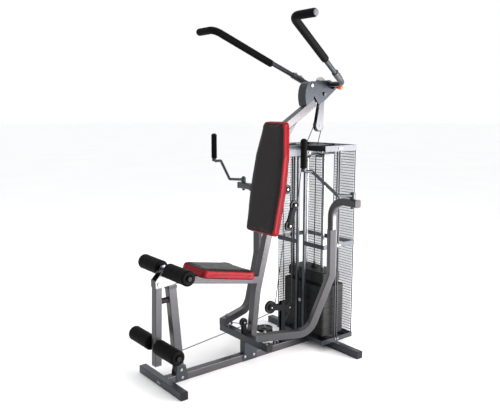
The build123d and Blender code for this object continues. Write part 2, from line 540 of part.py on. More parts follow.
def weight_tower():
    """Tray, guard bars, posts, screens, guide rods and the top beam."""
    low, high = TRAY_Z
    pan = box(-GUARD_HALF, GUARD_HALF, GUARD_FRONT, GUARD_BACK, low, high)
    pan -= box(2.5 - GUARD_HALF, GUARD_HALF - 2.5, GUARD_FRONT + 2.5, GUARD_BACK - 2.5, low + 3, high + 1)
    node("stack_tray", pan)
    floor = low + 3
    post_out = POST_X + POST_SIZE / 2
    node("guard_frame", ring(*MID_RING_Z, post_out), ring(*TOP_RING_Z, post_out))
    post_y = GUARD_FRONT + 2.5 + POST_SIZE / 2
    post = Pos(POST_X, post_y, floor) * extrude(tube_section(POST_SIZE, POST_SIZE, 2, 1.5),
                                                TOP_RING_Z[1] - floor)
    node("guard_frame", both_sides(post))
    rail_x = GUARD_HALF - GUARD_BAR - 8
    rods = []
    for y in (581.0, 600.0):
        rods += both_sides(rod((rail_x, y, floor), (rail_x, y, TOP_RING_Z[1] - 4), 5))
    node("guard_frame", rods)
    clips = []
    for z in (MID_RING_Z[0] + 14, TOP_RING_Z[0] + 17, high - 12):
        for y in (581.0, 600.0):
            clips += both_sides(rod((GUARD_HALF + 4, y, z), (GUARD_HALF, y, z), 5.5))
    node("frame_bolts", clips)
    screen = 1.2
    inner_x = GUARD_HALF - GUARD_BAR
    inner_y = GUARD_BACK - GUARD_BAR
    top = TOP_RING_Z[1] - 2
    node("guard_screens", box(-inner_x, screen - inner_x, GUARD_FRONT + 4, 650, high + 1, top))
    node("guard_screens", box(screen + 0.5 - inner_x, -75, inner_y - screen, inner_y, floor, top))
    node("guard_screens", box(25, inner_x, inner_y - screen, inner_y, floor, top))

    node("guide_rods", both_sides(rod((ROD_X, ROD_Y, floor), (ROD_X, ROD_Y, BEAM_Z[0] + 4), ROD_R)))
    bumper = rod((ROD_X, ROD_Y, floor), (ROD_X, ROD_Y, STACK_BASE_Z), 30, ROD_R)
    node("rubber_stops", both_sides(bumper))
    shelf = box(TUBE / 2, ROD_X + 20, ROD_Y - 18, ROD_Y + 18, BEAM_Z[0] + 4, BEAM_Z[0] + 9)
    node("frame_brackets", both_sides(shelf))

    half = TUBE / 2
    beam = box(-half, half, 250, BEAM_END_Y, *BEAM_Z) - box(2.5 - half, half - 2.5, 250, BEAM_END_Y + 1,
                                                           BEAM_Z[0] - 1, BEAM_Z[1] - 2.5)
    beam -= box(-6, 6, 478, 650, BEAM_Z[1] - 4, BEAM_Z[1] + 1)
    beam = max(solids(beam - filled_upright()), key=lambda s: s.center().Y)
    for y, z in (FRONT_TOP_PULLEY, REAR_TOP_PULLEY):
        beam -= rod((-30, y, z), (30, y, z), 5.0)
    node("top_beam", beam)
    tail = box(-half, half, BEAM_END_Y, GUARD_BACK - GUARD_BAR, *BEAM_Z)
    node("end_caps", tail)


def plate_block(z0, z1):
    """One weight plate with its two rod holes, stem hole and pin hole."""
    block = box(-STACK_HALF, STACK_HALF, STACK_FRONT, STACK_BACK, z0, z1)
    block = fillet(block.edges().filter_by(Axis.Z), 16)
    block = fillet(block.faces().sort_by(Axis.Z)[-1].edges() + block.faces().sort_by(Axis.Z)[0].edges(), 2.5)
    for x, radius in ((-ROD_X, ROD_R + 1), (ROD_X, ROD_R + 1), (0, STEM_R + 0.8)):
        block -= Pos(x, ROD_Y, (z0 + z1) / 2) * Cylinder(radius, z1 - z0 + 2)
    middle = (z0 + z1) / 2
    return block - rod((0, STACK_FRONT - 1, middle), (0, ROD_Y, middle), PIN_R + 0.5)


def weight_stack():
    """Resting plates, lifted plates, head, stem and selector pin."""
    resting = [plate_block(STACK_BASE_Z + i * WEIGHT_H, STACK_BASE_Z + (i + 1) * WEIGHT_H)
               for i in range(RESTING_PLATES)]
    node("resting_plates", resting)
    lifted_base = STACK_BASE_Z + RESTING_PLATES * WEIGHT_H + LIFT_GAP
    lifted = [plate_block(lifted_base + i * WEIGHT_H, lifted_base + (i + 1) * WEIGHT_H)
              for i in range(LIFTED_PLATES)]
    node("lifted_plates", lifted)
    lifted_top = lifted_base + LIFTED_PLATES * WEIGHT_H
    neck = box(-140, 140, HEAD_FRONT + 12, HEAD_BACK - 12, lifted_top, HEAD_Z[0])
    block = box(-HEAD_HALF, HEAD_HALF, HEAD_FRONT, HEAD_BACK, *HEAD_Z)
    block = fillet(block.edges().filter_by(Axis.Z), 16)
    block = fillet(block.faces().sort_by(Axis.Z)[-1].edges(), 12)
    head = neck + block
    for x, radius in ((-ROD_X, ROD_R + 1), (ROD_X, ROD_R + 1), (0, STEM_R)):
        head -= Pos(x, ROD_Y, 450) * Cylinder(radius, 160)
    node("stack_head", head)
    stem = rod((0, ROD_Y, STACK_BASE_Z + 6), (0, ROD_Y, STEM_TOP), STEM_R)
    count = RESTING_PLATES + LIFTED_PLATES
    for i in range(count):
        gap = LIFT_GAP if i >= RESTING_PLATES else 0
        z = STACK_BASE_Z + gap + (i + 0.5) * WEIGHT_H
        stem -= rod((0, ROD_Y - 20, z), (0, ROD_Y + 20, z), PIN_R + 0.5)
    node("stack_head", stem)
    collar = Pos(0, ROD_Y, HEAD_Z[1] + 6) * (Cylinder(20, 12) - Cylinder(STEM_R, 20))
    node("stack_head", collar)
    pin_z = lifted_base + WEIGHT_H / 2
    knob = fillet(rod((0, 466, pin_z), (0, 490, pin_z), 12).edges().filter_by(GeomType.CIRCLE), 3)
    node("selector_pin", rod((0, 489, pin_z), (0, ROD_Y + 11, pin_z), PIN_R) + knob)


# ---- pulleys and cables ----------------------------------------------------------------------------------
X_AXIS = (1, 0, 0)
PULLEYS = {
    "low_pulley": (LOW_PULLEY, LOW_R, 14.0),
    "base_front_pulley": (BASE_FRONT_PULLEY, BASE_FRONT_R, PULLEY_W),
    "base_rear_pulley": (BASE_REAR_PULLEY, SMALL_R, PULLEY_W),
    "float_lower_pulley": (FLOAT_LOWER, SMALL_R, PULLEY_W),
    "float_upper_pulley": (FLOAT_UPPER, SMALL_R, PULLEY_W),
    "upright_pulley": (UPRIGHT_PULLEY, SMALL_R, PULLEY_W),
    "front_top_pulley": (FRONT_TOP_PULLEY, PULLEY_R, PULLEY_W),
    "rear_top_pulley": (REAR_TOP_PULLEY, PULLEY_R, PULLEY_W),
    "hanger_pulley": (HANGER_PULLEY, PULLEY_R, PULLEY_W),
}


def pulleys():
    """Every pulley, and the axles and brackets that hold them."""
    for name, (centre, radius, width) in PULLEYS.items():
        node(name, pulley_at((0, *centre), X_AXIS, radius, width))
    node("press_pulley", pulley_at((0, PRESS_PULLEY_Y, PRESS_PULLEY_Z), (0, 0, 1), PRESS_PULLEY_R))

    reach = {"low_pulley": 15.5, "base_front_pulley": 18, "base_rear_pulley": 18,
             "float_lower_pulley": 18, "float_upper_pulley": 18, "upright_pulley": 18,
             "front_top_pulley": TUBE / 2 + 6, "rear_top_pulley": TUBE / 2 + 6}
    axles = []
    for name, half in reach.items():
        centre = PULLEYS[name][0]
        axles.append(rod((-half, *centre), (half, *centre), 5))
    axles.append(rod((0, PRESS_PULLEY_Y, TUBE), (0, PRESS_PULLEY_Y, PRESS_PULLEY_Z + 20), 5))
    node("frame_bolts", axles)

    cheek_x = 11.8
    cheeks = link_plate([(*BASE_FRONT_PULLEY, 20), (*BASE_REAR_PULLEY, 16)], cheek_x, cheek_x + PLATE, 5.0)
    post = box(cheek_x - PLATE, cheek_x, *BASE_POST_Y, TUBE, BASE_POST_TOP)
    node("pulley_brackets", both_sides(cheeks), both_sides(post))
    base = Pos(0, PRESS_PULLEY_Y, 0) * extrude(Pos(0, 0, TUBE) * (Circle(17) - Circle(5)),
                                               PRESS_PULLEY_Z - 10 - TUBE)
    node("pulley_brackets", base)
    float_plate = link_plate([(*FLOAT_UPPER, 15), (*FLOAT_LOWER, 15)], cheek_x, cheek_x + PLATE, 5.0)
    node("pulley_brackets", both_sides(float_plate))
    rear_face = 266.5
    mount = [(rear_face, 985), (UPRIGHT_PULLEY[0] + 6, UPRIGHT_PULLEY[1] - 14),
             (UPRIGHT_PULLEY[0] + 14, 1020),
             (UPRIGHT_PULLEY[0] + 6, UPRIGHT_PULLEY[1] + 14), (rear_face + 14, 1058)]
    plates = plate_yz(mount, cheek_x, cheek_x + PLATE, [(*UPRIGHT_PULLEY, 5.0)])
    plates = max(solids(plates - filled_upright()), key=lambda s: s.volume)
    node("pulley_brackets", both_sides(plates))
    ears = [(2, CROSSBAR_Z + TUBE), (34, CROSSBAR_Z + TUBE), (22, 246), (10, 252), (-2, 246)]
    ear = plate_yz(ears, 8.0, 11.0, [(*LOW_PULLEY, 5.0)])
    node("pulley_brackets", both_sides(ear))


def seat_radius(radius):
    """Radius of the cable's centre line on a pulley of the given rim radius."""
    return radius - CABLE_SEAT


def cables():
    """Two steel cables over the pulleys, in spans and wraps, and the cable between the press arms."""
    big, small = seat_radius(PULLEY_R), seat_radius(SMALL_R)
    eye_y, eye_z = ROD_Y, STEM_TOP + 16
    node("stack_cable", cable_run((eye_y, eye_z), (ROD_Y, REAR_TOP_PULLEY[1])))
    rear_up, hanger_rear = tangent(REAR_TOP_PULLEY, big, HANGER_PULLEY, big, -1, 1)
    hanger_front, front_down = tangent(HANGER_PULLEY, big, FRONT_TOP_PULLEY, big, 1, 1)
    front_out, float_rear = tangent(FRONT_TOP_PULLEY, big, FLOAT_UPPER, small, 1, -1)
    float_front, upright_rear = tangent(FLOAT_UPPER, small, UPRIGHT_PULLEY, small, -1, 1)
    upright_front, _ = tangent(UPRIGHT_PULLEY, small, POST_EYE[1:], 0, 1, 1)
    node("hanger_cable", chain([cable_run(rear_up, hanger_rear),
                                cable_wrap(HANGER_PULLEY, big, hanger_rear, hanger_front, 85),
                                cable_run(hanger_front, front_down)]))
    lat_cable = [cable_wrap(FRONT_TOP_PULLEY, big, front_down, front_out, 172),
                 cable_run(front_out, float_rear),
                 cable_wrap(FLOAT_UPPER, small, float_rear, float_front, 270),
                 cable_run(float_front, upright_rear),
                 cable_wrap(UPRIGHT_PULLEY, small, upright_rear, upright_front, 90),
                 rod((0, *upright_front), POST_EYE, CABLE_R)]
    node("fixed_cables", cable_wrap(REAR_TOP_PULLEY, big, (ROD_Y, REAR_TOP_PULLEY[1]), rear_up, 172),
         chain(lat_cable))

    low, front = seat_radius(LOW_R), seat_radius(BASE_FRONT_R)
    hook, low_in = tangent(LEG_HOOK, 0, LOW_PULLEY, low, 1, 1)
    low_out, base_in = tangent(LOW_PULLEY, low, BASE_FRONT_PULLEY, front, 1, 1)
    base_out, float_in = tangent(BASE_FRONT_PULLEY, front, FLOAT_LOWER, small, 1, -1)
    float_out, rear_in = tangent(FLOAT_LOWER, small, BASE_REAR_PULLEY, small, -1, -1)
    rear_out, base_end = tangent(BASE_REAR_PULLEY, small, BASE_ANCHOR, 0, -1, -1)
    reach = hypot(low_in[0] - hook[0], low_in[1] - hook[1])
    hook_gap = 9.1 / reach
    leg_start = (hook[0] + hook_gap * (low_in[0] - hook[0]), hook[1] + hook_gap * (low_in[1] - hook[1]))
    node("leg_cable", cable_run(leg_start, low_in))
    block = box(-8, 8, BASE_ANCHOR[0] - 12, BASE_ANCHOR[0] + 12, TUBE, TUBE + 13)
    leg_parts = [cable_wrap(LOW_PULLEY, low, low_in, low_out, 280), cable_run(low_out, base_in),
                 cable_wrap(BASE_FRONT_PULLEY, front, base_in, base_out, 320), cable_run(base_out, float_in),
                 cable_wrap(FLOAT_LOWER, small, float_in, float_out, 90), cable_run(float_out, rear_in),
                 cable_wrap(BASE_REAR_PULLEY, small, rear_in, rear_out, 346),
                 cable_run(rear_out, base_end) - block]
    node("fixed_cables", chain(leg_parts))
    eye_x, eye_y, eye_z = POST_EYE
    node("pulley_brackets", block, box(8.8, eye_x + 4, eye_y - 8, eye_y + 8, BASE_POST_TOP, eye_z - 0.1))
    stem_eye = rod((0, ROD_Y, STEM_TOP), (0, ROD_Y, STEM_TOP + 16), 6)
    node("stack_head", stem_eye)

    lug_x, lug_y, _ = arm_point(LUG_REACH, 0)
    radius = seat_radius(PRESS_PULLEY_R)
    z = PRESS_PULLEY_Z
    (start_x, start_y), (touch_x, touch_y) = tangent((lug_x, lug_y), 0, (0, PRESS_PULLEY_Y), radius, 1, 1)
    reach = hypot(touch_x - start_x, touch_y - start_y)
    gap = 8.0 / reach
    first = (start_x + gap * (touch_x - start_x), start_y + gap * (touch_y - start_y), z)
    run = rod(first, (touch_x, touch_y, z), CABLE_R)
    arc = ThreePointArc((touch_x, touch_y, z), (0, PRESS_PULLEY_Y + radius, z), (-touch_x, touch_y, z))
    loop = sweep(Plane(origin=arc @ 0, z_dir=arc % 0) * Circle(CABLE_R), path=arc)
    node("fixed_cables", run + loop + mirror(run, about=Plane.YZ))


def chain(pieces):
    """Join touching lengths of one cable into one solid."""
    whole = pieces[0]
    for piece in pieces[1:]:
        whole += piece
    return whole


# ---- lat arms --------------------------------------------------------------------------------------------
def lat_station():
    """Saddle on the boom, the lever that tilts in it, the bars it carries, the hanger and the pull pin."""
    web = [boom_point(222, BOOM_DEPTH / 2), boom_point(258, BOOM_DEPTH / 2),
           boom_point(258, BOOM_DEPTH / 2 + 3),
           boom_point(222, BOOM_DEPTH / 2 + 3)]
    foot = boom_point(222, BOOM_DEPTH / 2)
    nose = [(469, 1546), (464.5, 1570), (463.5, 1595), (466.5, 1620), (474, 1644), (486, 1662), (502, 1674)]
    inner = [(y + 3.5, z) for y, z in nose]
    wall = [foot, *nose, *reversed(inner), (foot[0] + 3.5, foot[1] + 2.4)]
    side = [foot, *nose, (516, 1677), (560, 1677), boom_point(292, BOOM_DEPTH / 2 + 6),
            boom_point(258, BOOM_DEPTH / 2)]
    saddle = plate_yz(web, -34, 34) + plate_yz(wall, -34, 34)
    hole = [(*LAT_PIVOT, 6.02)]
    saddle += plate_yz(side, 31, 34, hole) + plate_yz(side, -34, -31, hole)
    node("hub_saddle", saddle)
    node("frame_bolts", bolt((34, *LAT_PIVOT), (-1, 0, 0), 6, 76))

    reach = hypot(HANGER_PIN[0] - LAT_PIVOT[0], HANGER_PIN[1] - LAT_PIVOT[1])
    toward = [(LAT_PIVOT[i] - HANGER_PIN[i]) / reach for i in (0, 1)]
    slot_end = (HANGER_PIN[0] + 12.5 * toward[0], HANGER_PIN[1] + 12.5 * toward[1])
    hull = [(*LAT_PIVOT, 20), (*LAT_CROSS, 27), (590, 1552, 14), (640, 1580, 14), (735, 1650, 13)]
    cheek = link_plate(hull, 24, 27.5)
    cheek -= link_plate([(*HANGER_PIN, 7.8), (*slot_end, 7.8)], 23, 28.5)
    for (y, z), radius in ((LAT_PIVOT, 6.06), (LAT_CROSS, LAT_CROSS_R + 0.4), (SELECT_PIN, 5.4)):
        cheek -= rod((20, y, z), (30, y, z), radius)
    spacer = box(-24, 24, 712, 724, 1636, 1660)
    node("lat_lever", both_sides(cheek)[0] + both_sides(cheek)[1] + spacer)
    guide = rod((27.5, *SELECT_PIN), (52, *SELECT_PIN), 9, 5.4)
    node("lat_lever", guide)

    k1, k2, k3 = [Vector(*p) for p in LAT_ROUTE[1:]]
    along = (k2 - k1).normalized()
    joint = k1 + along * 95
    mirror_x = lambda v: (-v.X, v.Y, v.Z)
    cross_route = [mirror_x(joint), mirror_x(k1), tuple(k1), tuple(joint)]
    cross = bent_tube(cross_route, 50, Circle(LAT_CROSS_R), (0, 0, 1))
    node("lat_bars", cross)
    bar = bent_tube([tuple(joint), tuple(k2), tuple(k3)], 60, Circle(LAT_TUBE_R), (0, 0, 1))
    sleeve = rod(tuple(k1 + along * 62), tuple(k1 + along * 140), 20) - rod(tuple(k1 + along * 40),
                                                                            tuple(joint),
                                                                            LAT_CROSS_R)
    sleeve -= rod(tuple(joint), tuple(k1 + along * 170), LAT_TUBE_R)
    grip_start = k1 + along * 281
    foam = bent_tube([tuple(grip_start), tuple(k2), tuple(k3 - Vector(3, 0, 0))], 60, Circle(LAT_GRIP_R),
                     (0, 0, 1))
    foam -= bar
    cap = rod(tuple(k3), tuple(k3 + Vector(4, 0, 0)), 17)
    down = along.cross(Vector(1, 0, 0)).normalized()
    for distance in (80, 118):
        spot = k1 + along * distance
        nut = rod(tuple(spot + down * 19), tuple(spot + down * 26), 7) - sleeve
        node("lat_fittings", both_sides(max(solids(nut), key=lambda s: s.volume)))
    node("lat_bars", bar, mirror(bar, about=Plane.YZ))
    node("lat_fittings", sleeve, mirror(sleeve, about=Plane.YZ))
    node("lat_grips", foam, mirror(foam, about=Plane.YZ))
    node("lat_grips", cap, mirror(cap, about=Plane.YZ))

    disc = rod((-52, *LAT_CROSS), (-46, *LAT_CROSS), 48, LAT_CROSS_R)
    start = atan2(SELECT_PIN[1] - LAT_CROSS[1], SELECT_PIN[0] - LAT_CROSS[0])
    circle_r = hypot(SELECT_PIN[1] - LAT_CROSS[1], SELECT_PIN[0] - LAT_CROSS[0])
    for i in range(12):
        angle = start + i * radians(30)
        y, z = LAT_CROSS[0] + circle_r * cos(angle), LAT_CROSS[1] + circle_r * sin(angle)
        disc -= rod((-55, y, z), (-40, y, z), 5.4)
    node("lat_fittings", disc)
    ball = Pos(97, *SELECT_PIN) * Sphere(15.5)
    neck = rod((73, *SELECT_PIN), (89, *SELECT_PIN), 9)
    node("pull_pin", rod((-45, *SELECT_PIN), (79, *SELECT_PIN), 5) + neck + ball)

    strap = link_plate([(*HANGER_PIN, 14), (*HANGER_PULLEY, 30)], 10.5, 14)
    for (y, z), radius in ((HANGER_PIN, 6.0), (HANGER_PULLEY, 5.0)):
        strap -= rod((5, y, z), (20, y, z), radius)
    node("hanger_straps", both_sides(strap))
    node("hanger_straps", bolt((31.5, *HANGER_PIN), (-1, 0, 0), 6, 66),
         rod((27.9, *HANGER_PIN), (31.4, *HANGER_PIN), 13, 6),
         rod((-16, *HANGER_PULLEY), (16, *HANGER_PULLEY), 5))


# ---- fasteners -------------------------------------------------------------------------------------------
def fasteners():
    """Carriage bolts of the frame, and the holes they pass through."""
    half = TUBE / 2
    heads = []
    for x in (-9.0, 9.0):
        heads.append(bolt((x, FRONT_FOOT_Y - half, half), (0, 1, 0), 4, TUBE + 6))
    outer = half + PLATE
    for y, z in ((2, 30), (70, 30), (-440, 24), (-446, 70)):
        heads += both_sides(bolt((outer, y, z), (-1, 0, 0), 4.5, PLATE + WALL + 4))
    node("frame_bolts", heads)
    drill(heads, ["front_foot", "front_rail", "rear_rail", "front_upright", "frame_brackets"])


def build():
    """Make every piece and write one STEP file for each."""
    base_frame()
    masts()
    foot_brackets()
    seat()
    backrest()
    leg_developer()
    press_arms()
    handles()
    weight_tower()
    weight_stack()
    pulleys()
    cables()
    lat_station()
    fasteners()
    os.makedirs("parts", exist_ok=True)
    for name, parts in NODES.items():
        export_step(parts[0] if len(parts) == 1 else Compound(children=parts), f"parts/{name}.step")


build()
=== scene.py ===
import math

import bmesh
import bpy
from mathutils import Matrix, Vector
from mathutils.bvhtree import BVHTree


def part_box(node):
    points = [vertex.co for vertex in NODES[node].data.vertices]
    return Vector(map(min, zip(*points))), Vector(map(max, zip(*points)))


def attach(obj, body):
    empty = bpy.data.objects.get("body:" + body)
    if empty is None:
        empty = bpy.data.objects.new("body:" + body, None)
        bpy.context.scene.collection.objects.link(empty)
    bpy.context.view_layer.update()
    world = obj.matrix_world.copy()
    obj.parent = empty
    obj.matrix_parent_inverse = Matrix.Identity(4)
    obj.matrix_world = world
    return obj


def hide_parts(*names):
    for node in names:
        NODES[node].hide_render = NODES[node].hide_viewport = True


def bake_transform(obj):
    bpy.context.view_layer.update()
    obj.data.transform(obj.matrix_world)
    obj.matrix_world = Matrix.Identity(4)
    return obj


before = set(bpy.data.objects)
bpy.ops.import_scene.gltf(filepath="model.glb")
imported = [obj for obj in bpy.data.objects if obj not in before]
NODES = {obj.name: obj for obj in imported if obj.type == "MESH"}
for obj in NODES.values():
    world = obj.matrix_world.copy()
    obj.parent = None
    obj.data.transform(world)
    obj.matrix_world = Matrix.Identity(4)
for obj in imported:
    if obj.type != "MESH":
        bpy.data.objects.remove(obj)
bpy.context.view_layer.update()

SCENE = bpy.context.scene
FACING = 0.7  # cosine within which a face looks a given way

# ---- finishes -----------------------------------------------------------------------------------


COAT_ROUGHNESS = 0.12
NOISE_SPAN = (0.3, 0.7)  # most of a noise texture's values lie between these


def new_material(name, color, roughness, metallic=0.0, specular=0.5, coat=0.0, sheen=0.0):
    """A node material whose even values sit on the shader's own sockets."""
    mat = bpy.data.materials.new(name)
    mat.use_nodes = True
    shader = mat.node_tree.nodes["Principled BSDF"]
    shader.inputs["Base Color"].default_value = (*color, 1)
    shader.inputs["Roughness"].default_value = roughness
    shader.inputs["Metallic"].default_value = metallic
    shader.inputs["Specular IOR Level"].default_value = specular
    shader.inputs["Coat Weight"].default_value = coat
    shader.inputs["Coat Roughness"].default_value = COAT_ROUGHNESS
    shader.inputs["Sheen Weight"].default_value = sheen
    return mat, mat.node_tree, shader


def noise(tree, scale, detail, rough=0.5, stretch=None):
    """A noise texture in object coordinates."""
    tex = tree.nodes.new("ShaderNodeTexNoise")
    tex.inputs["Scale"].default_value = scale
    tex.inputs["Detail"].default_value = detail
    tex.inputs["Roughness"].default_value = rough
    coords = tree.nodes.new("ShaderNodeTexCoord")
    if stretch:
        mapping = tree.nodes.new("ShaderNodeMapping")
        mapping.inputs["Scale"].default_value = stretch
        tree.links.new(coords.outputs["Object"], mapping.inputs["Vector"])
        tree.links.new(mapping.outputs["Vector"], tex.inputs["Vector"])
    else:
        tree.links.new(coords.outputs["Object"], tex.inputs["Vector"])
    return tex.outputs["Fac"]


def ramp(tree, fac, stops):
    """A colour ramp; stops are (position, colour)."""
    node = tree.nodes.new("ShaderNodeValToRGB")
    elements = node.color_ramp.elements
    while len(elements) < len(stops):
        elements.new(0.5)
    for element, (position, color) in zip(elements, stops):
        element.position = position
        element.color = (*color, 1)
    tree.links.new(fac, node.inputs["Fac"])
    return node.outputs["Color"]


def vary_color(tree, shader, fac, low, high, span=NOISE_SPAN):
    """Base colour between two colours by a texture."""
    tree.links.new(ramp(tree, fac, [(span[0], low), (span[1], high)]), shader.inputs["Base Color"])


def vary_roughness(tree, shader, fac, low, high):
    """Roughness between two values by a texture."""
    node = tree.nodes.new("ShaderNodeMapRange")
    node.inputs["From Min"].default_value, node.inputs["From Max"].default_value = NOISE_SPAN
    node.inputs["To Min"].default_value = low
    node.inputs["To Max"].default_value = high
    tree.links.new(fac, node.inputs["Value"])
    tree.links.new(node.outputs["Result"], shader.inputs["Roughness"])


def bump(tree, shader, *layers):
    """Bump layers, each (texture output, strength, distance in metres)."""
    last = None
    for fac, strength, distance in layers:
        node = tree.nodes.new("ShaderNodeBump")
        node.inputs["Strength"].default_value = strength
        node.inputs["Distance"].default_value = distance
        tree.links.new(fac, node.inputs["Height"])
        if last is not None:
            tree.links.new(last.outputs["Normal"], node.inputs["Normal"])
        last = node
    tree.links.new(last.outputs["Normal"], shader.inputs["Normal"])


def shade(color, factor):
    """A colour made lighter or darker."""
    return tuple(min(1.0, c * factor) for c in color)


def powder_coat(name, color, roughness, metallic=0.75, specular=0.5, coat=0.25):
    """Metallic powder coat: fine flake, faint cloud, orange-peel bump."""
    mat, tree, shader = new_material(name, color, roughness, metallic, specular=specular, coat=coat)
    flake = noise(tree, scale=1400, detail=2)
    cloud = noise(tree, scale=9, detail=4)
    mix = tree.nodes.new("ShaderNodeMix")
    mix.data_type = "RGBA"
    mix.inputs["Factor"].default_value = 0.3
    flake_color = ramp(tree, flake, [(0.35, shade(color, 0.72)), (0.68, shade(color, 1.3))])
    cloud_color = ramp(tree, cloud, [(0.3, shade(color, 0.88)), (0.7, shade(color, 1.1))])
    tree.links.new(flake_color, mix.inputs["A"])
    tree.links.new(cloud_color, mix.inputs["B"])
    tree.links.new(mix.outputs["Result"], shader.inputs["Base Color"])
    vary_roughness(tree, shader, cloud, roughness - 0.05, roughness + 0.07)
    orange_peel = noise(tree, scale=520, detail=2)
    bump(tree, shader, (orange_peel, 0.12, 0.0004), (flake, 0.06, 0.0002))
    return mat


def vinyl(name, color, roughness):
    """Upholstery vinyl: a pebbled grain over soft creases."""
    mat, tree, shader = new_material(name, color, roughness, specular=0.14, sheen=0.01)
    grain = tree.nodes.new("ShaderNodeTexVoronoi")
    grain.inputs["Scale"].default_value = 520
    coords = tree.nodes.new("ShaderNodeTexCoord")
    tree.links.new(coords.outputs["Object"], grain.inputs["Vector"])
    cloud = noise(tree, scale=14, detail=5)
    vary_color(tree, shader, cloud, shade(color, 0.8), shade(color, 1.2))
    vary_roughness(tree, shader, cloud, roughness - 0.06, roughness + 0.08)
    creases = noise(tree, scale=26, detail=3)
    bump(tree, shader, (creases, 0.12, 0.002), (grain.outputs["Distance"], 0.22, 0.0007))
    return mat


def foam(name, color):
    """Closed-cell foam: matt, with a pore texture and a soft mottle; painted shade darkens the pore
    hollows and the rises between them are lighter.
    """
    mat, tree, shader = new_material(name, color, roughness=0.6, specular=0.05, sheen=0.004)
    pores_with_painted_shade = noise(tree, scale=900, detail=4, rough=0.7)
    # painted shade: the texture that dents the pores also makes the colour darker in the hollows and
    # lighter on the rises
    vary_color(tree, shader, pores_with_painted_shade, shade(color, 0.6), shade(color, 1.45), span=(0.4, 0.62))
    dents = noise(tree, scale=60, detail=3)
    bump(tree, shader, (dents, 0.15, 0.0015), (pores_with_painted_shade, 0.3, 0.0008))
    return mat


def plastic(name, color, roughness, coat=0.0, grain=700):
    """Moulded plastic with a fine spark-eroded texture."""
    mat, tree, shader = new_material(name, color, roughness, specular=0.16, coat=coat)
    cloud = noise(tree, scale=30, detail=3)
    vary_color(tree, shader, cloud, shade(color, 0.82), shade(color, 1.15))
    vary_roughness(tree, shader, cloud, roughness - 0.04, roughness + 0.06)
    bump(tree, shader, (noise(tree, scale=grain, detail=2), 0.1, 0.0003))
    return mat


def bare_metal(name, color, roughness):
    """Plated or drawn metal with fine marks."""
    mat, tree, shader = new_material(name, color, roughness, metallic=1.0)
    marks = noise(tree, scale=300, detail=3, rough=0.6)
    vary_color(tree, shader, marks, shade(color, 0.86), shade(color, 1.05))
    vary_roughness(tree, shader, marks, max(0.03, roughness - 0.05), roughness + 0.08)
    bump(tree, shader, (marks, 0.04, 0.0002))
    return mat


def cable_finish(name):
    """Plastic-coated wire rope with the twist of the strands showing; painted shade darkens the grooves
    between strands and the strand tops are lighter.
    """
    mat, tree, shader = new_material(name, (0.012, 0.012, 0.013), roughness=0.42, specular=0.2)
    lay_with_painted_shade = noise(tree, scale=420, detail=1, rough=0.4, stretch=(1, 1, 0.35))
    # painted shade: darker in the grooves this texture bumps in, lighter on the strand tops
    vary_color(tree, shader, lay_with_painted_shade, (0.008, 0.008, 0.009), (0.022, 0.022, 0.024))
    bump(tree, shader, (lay_with_painted_shade, 0.3, 0.0006))
    return mat


CHARCOAL = powder_coat("charcoal_powder_coat", (0.053, 0.053, 0.058), 0.38)
SLATE = powder_coat("slate_powder_coat", (0.024, 0.030, 0.037), 0.38)
SATIN_BLACK = powder_coat("satin_black_coat", (0.006, 0.0066, 0.0075), 0.5, metallic=0.3, specular=0.08,
                          coat=0.0)
GREY_SCREEN = powder_coat("grey_screen_coat", (0.20, 0.215, 0.24), 0.5, metallic=0.3)
BLACK_VINYL = vinyl("black_vinyl", (0.0125, 0.0102, 0.0105), 0.42)
RED_VINYL = vinyl("red_vinyl", (0.185, 0.0018, 0.007), 0.5)
PIPING = vinyl("piping_vinyl", (0.0015, 0.0015, 0.0015), 0.6)
FOAM = foam("black_foam", (0.0020, 0.0020, 0.0022))
RUBBER = plastic("rubber", (0.008, 0.008, 0.0085), 0.6)
BLACK_PLASTIC = plastic("black_plastic", (0.007, 0.007, 0.0078), 0.38)
PULLEY_NYLON = plastic("pulley_nylon", (0.006, 0.006, 0.0066), 0.33)
PLATE_VINYL = plastic("plate_vinyl", (0.009, 0.0095, 0.010), 0.46, grain=380)
RED_KNOB = plastic("red_knob", (0.78, 0.085, 0.012), 0.2, coat=0.6)
LIGHT_CAP = plastic("light_cap", (0.13, 0.13, 0.14), 0.35)
CHROME = bare_metal("chrome", (0.27, 0.275, 0.29), 0.2)
ZINC = bare_metal("bright_zinc", (0.33, 0.33, 0.32), 0.28)
STRAP_STEEL = bare_metal("strap_steel", (0.065, 0.068, 0.074), 0.3)
CABLE = cable_finish("coated_cable")

FINISH = {
    "end_caps": BLACK_PLASTIC, "leg_bracket": CHROME, "rubber_stops": RUBBER, "guide_rods": CHROME,
    "resting_plates": PLATE_VINYL, "lifted_plates": PLATE_VINYL, "stack_head": PLATE_VINYL,
    "frame_bolts": ZINC, "selector_pin": ZINC, "leg_lever_fittings": ZINC, "lat_fittings": CHROME,
    "pull_pin": RED_KNOB, "hanger_straps": STRAP_STEEL, "pad_brackets": SATIN_BLACK,
    "pulley_brackets": SATIN_BLACK, "lat_bars": SLATE, "press_handle_left": SLATE,
    "press_handle_right": SLATE, "guard_frame": SLATE, "stack_tray": SLATE, "rear_foot": SLATE,
    "front_foot": SLATE, "crossbar": SLATE, "lat_lever": SLATE, "top_beam": SLATE, "hub_saddle": SLATE,
    "frame_brackets": SLATE, "fixed_cables": CABLE, "stack_cable": CABLE, "hanger_cable": CABLE,
    "leg_cable": CABLE,
}
SOFT_NODES = ["seat_pad", "backrest_pad", "upper_roller_left", "upper_roller_right", "lower_roller_left",
              "lower_roller_right", "press_grip_left", "press_grip_right", "lat_grips"]


def finish_of(name):
    """The finish of a carried-over CAD node."""
    if name.endswith("_pulley"):
        return PULLEY_NYLON
    return FINISH.get(name, CHARCOAL)


def paint(obj, *materials):
    """Give an object these materials, in slots 0, 1, ..."""
    obj.data.materials.clear()
    for material in materials:
        obj.data.materials.append(material)


# ---- mesh helpers -------------------------------------------------------------------------------


SHARP_ANGLE = math.radians(35)
SHARP_FOAM_ANGLE = math.radians(50)


